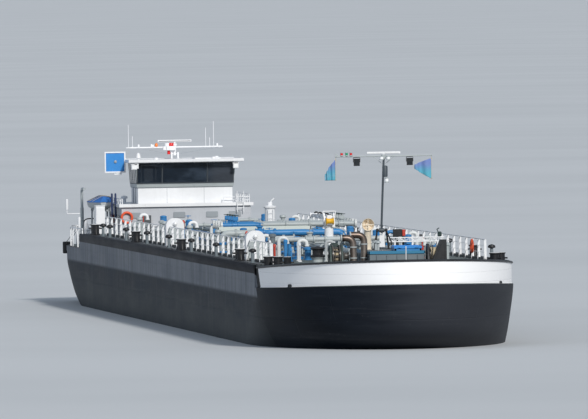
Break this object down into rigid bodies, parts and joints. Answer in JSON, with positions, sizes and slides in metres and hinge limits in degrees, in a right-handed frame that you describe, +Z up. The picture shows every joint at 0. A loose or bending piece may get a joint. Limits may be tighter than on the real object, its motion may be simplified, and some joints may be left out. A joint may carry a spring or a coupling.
{
  "type": "river tank barge at 1:10 scale",
  "caption": "Self-propelled river tank barge with rails, deck piping, folding bow mast, hose crane, lifting wheelhouse, twin rudders and ducted propeller.",
  "frame": {"origin": "on the flat bottom, on the centreline, midway between stem and stern", "axes": "+X to the bow, +Y to port, +Z up"},
  "size_m": [11, 1.14, 1.0835],
  "materials": {
    "hull_paint": "weathered grey and black hull paint",
    "white_paint": "semi-gloss white paint",
    "black_paint": "semi-gloss black paint",
    "deck_paint": "matt grey-green deck paint",
    "pipe_paint": "light grey pipe paint",
    "blue_paint": "gloss blue paint",
    "cream_paint": "semi-gloss cream paint",
    "stainless": "bare stainless steel",
    "bronze": "bronze casting",
    "flag_cloth": "woven flag cloth",
    "boat_cover": "coated canvas",
    "window_glass": "tinted window glass"
  },
  "bodies": {
    "ship": {"hull": "hull_paint", "bow_bulwark": "white_paint", "propeller_nozzle": "black_paint", "side_rail_port": "white_paint", "side_rail_starboard": "white_paint", "mooring_strip_port": "black_paint", "mooring_strip_starboard": "black_paint", "fore_house": "deck_paint", "windlass_starboard": "black_paint", "windlass_port": "black_paint", "bow_bollards_port": "black_paint", "bow_bollards_starboard": "black_paint", "capstan": "deck_paint", "cowl_vent": "cream_paint", "bow_exhausts": "stainless", "mast_legs": "black_paint", "tank_hatches_port": "pipe_paint", "tank_hatches_starboard": "pipe_paint", "cargo_pumps_port": "blue_paint", "cargo_pumps_starboard": "blue_paint", "cargo_line_port": "pipe_paint", "cargo_line_starboard": "pipe_paint", "manifold": "blue_paint", "cross_pipe_mid": "blue_paint", "cross_pipe_fore": "pipe_paint", "catwalk": "white_paint", "vent_tank": "white_paint", "crane_pedestal": "white_paint", "after_house": "white_paint", "house_roof": "white_paint", "deck_locker": "white_paint", "dinghy": "boat_cover", "davit_post": "pipe_paint", "exhausts": "deck_paint", "stern_winch": "black_paint", "stern_rail": "white_paint"},
    "propeller": {"propeller": "bronze"},
    "rudder_starboard": {"rudder_starboard": "black_paint"},
    "rudder_port": {"rudder_port": "black_paint"},
    "fore_hatch_lid": {"fore_hatch_lid": "blue_paint"},
    "bow_mast": {"bow_mast": "deck_paint", "flag_port": "flag_cloth", "flag_starboard": "flag_cloth"},
    "bow_radar": {"bow_radar": "white_paint"},
    "crane_post": {"crane_post": "white_paint"},
    "crane_jib": {"crane_jib": "white_paint"},
    "house_door_port": {"house_door_port": "white_paint"},
    "house_door_starboard": {"house_door_starboard": "white_paint"},
    "wheelhouse": {"wheelhouse_trunk": "white_paint", "window_band": "pipe_paint", "wheelhouse_glass": "window_glass", "helm_console": "deck_paint", "helm_chair": "black_paint", "wheelhouse_roof": "white_paint"},
    "wheelhouse_door": {"wheelhouse_door": "white_paint"},
    "roof_mast": {"roof_mast": "white_paint"},
    "roof_radar": {"roof_radar": "white_paint"},
    "blue_board": {"blue_board": "blue_paint"},
    "davit_arm": {"davit_arm": "white_paint"}
  },
  "joints": [
    {"name": "propeller_turn", "type": "hinge", "parent": "ship", "child": "propeller", "pos_m": [-4.83, 0, 0.098], "axis": [1, 0, 0], "continuous": true},
    {"name": "rudder_starboard_steer", "type": "hinge", "parent": "ship", "child": "rudder_starboard", "pos_m": [-5.02, -0.052, 0.1], "axis": [0, 0, 1], "range_deg": [-45, 45]},
    {"name": "rudder_port_steer", "type": "hinge", "parent": "ship", "child": "rudder_port", "pos_m": [-5.02, 0.052, 0.1], "axis": [0, 0, 1], "range_deg": [-45, 45]},
    {"name": "fore_hatch_open", "type": "hinge", "parent": "ship", "child": "fore_hatch_lid", "pos_m": [4.786, 0.0525, 0.6103], "axis": [0, -1, 0], "range_deg": [0, 100]},
    {"name": "bow_mast_fold", "type": "hinge", "parent": "ship", "child": "bow_mast", "pos_m": [4.49, 0, 0.684], "axis": [0, -1, 0], "range_deg": [0, 86]},
    {"name": "bow_radar_turn", "type": "hinge", "parent": "bow_mast", "child": "bow_radar", "pos_m": [4.49, 0, 1.02], "axis": [0, 0, 1], "continuous": true},
    {"name": "crane_slew", "type": "hinge", "parent": "ship", "child": "crane_post", "pos_m": [2.18, 0, 0.62], "axis": [0, 0, 1], "range_deg": [-150, 150]},
    {"name": "crane_luff", "type": "hinge", "parent": "crane_post", "child": "crane_jib", "pos_m": [2.18, 0, 0.7073], "axis": [0, 1, 0], "range_deg": [0, 60]},
    {"name": "house_door_port_open", "type": "hinge", "parent": "ship", "child": "house_door_port", "pos_m": [-5.046, 0.324, 0.56], "axis": [0, 0, -1], "range_deg": [0, 90]},
    {"name": "house_door_starboard_open", "type": "hinge", "parent": "ship", "child": "house_door_starboard", "pos_m": [-5.046, -0.324, 0.56], "axis": [0, 0, 1], "range_deg": [0, 90]},
    {"name": "wheelhouse_lift", "type": "slide", "parent": "ship", "child": "wheelhouse", "axis": [0, 0, 1], "range_m": [0, 0.15]},
    {"name": "wheelhouse_door_open", "type": "hinge", "parent": "wheelhouse", "child": "wheelhouse_door", "pos_m": [-4.935, -0.184, 0.77], "axis": [0, 0, 1], "range_deg": [0, 100]},
    {"name": "roof_mast_fold", "type": "hinge", "parent": "wheelhouse", "child": "roof_mast", "pos_m": [-4.91, -0.018, 0.922], "axis": [0, -1, 0], "range_deg": [0, 85]},
    {"name": "roof_radar_turn", "type": "hinge", "parent": "roof_mast", "child": "roof_radar", "pos_m": [-4.91, -0.018, 0.98], "axis": [0, 0, 1], "continuous": true},
    {"name": "blue_board_turn", "type": "hinge", "parent": "wheelhouse", "child": "blue_board", "pos_m": [-4.69, -0.341, 0.887], "axis": [0, 0, -1], "range_deg": [0, 90]},
    {"name": "davit_slew", "type": "hinge", "parent": "ship", "child": "davit_arm", "pos_m": [-5.09, -0.475, 0.66], "axis": [0, 0, -1], "range_deg": [0, 120]}
  ],
  "couplings": [
    {"joint": "rudder_port_steer", "follows": "rudder_starboard_steer", "ratio": 1}
  ]
}
